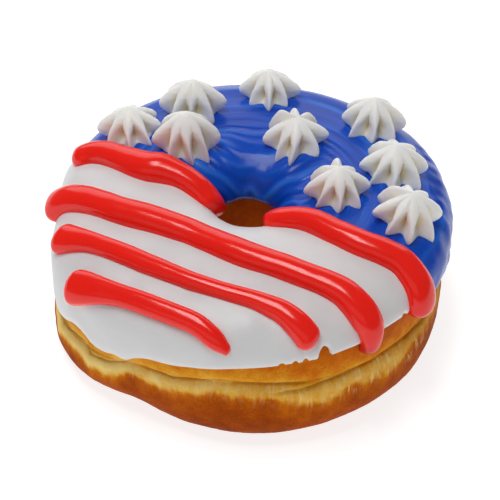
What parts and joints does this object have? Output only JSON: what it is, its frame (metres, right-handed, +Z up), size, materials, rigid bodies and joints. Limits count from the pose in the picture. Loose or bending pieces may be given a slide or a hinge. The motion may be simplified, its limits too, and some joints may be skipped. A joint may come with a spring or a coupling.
{
  "type": "iced ring doughnut",
  "caption": "Raised ring doughnut with white and blue icing, piped red lines across it and piped cream stars on the blue side.",
  "frame": {"origin": "on the table, under the middle of the whole doughnut", "axes": "+Z up out of the iced top, -Y towards the white front edge, +X to the right seen from the front"},
  "size_m": [0.0938, 0.0989, 0.0481],
  "materials": {
    "dough": "fried crust, golden brown, paler at the crease",
    "white_icing": "satin sugar icing",
    "blue_icing": "glossy spread icing",
    "red_icing": "wet, glossy piping gel",
    "cream": "smooth piped cream"
  },
  "bodies": {
    "root": {"dough": "dough", "icing_white": "white_icing", "icing_blue": "blue_icing", "red_line_back_left": "red_icing", "red_line_back_right": "red_icing", "red_line_middle": "red_icing", "red_line_front": "red_icing", "red_line_short": "red_icing", "star_1": "cream", "star_2": "cream", "star_3": "cream", "star_4": "cream", "star_5": "cream", "star_6": "cream", "star_7": "cream", "star_8": "cream", "star_9": "cream"}
  },
  "joints": []
}
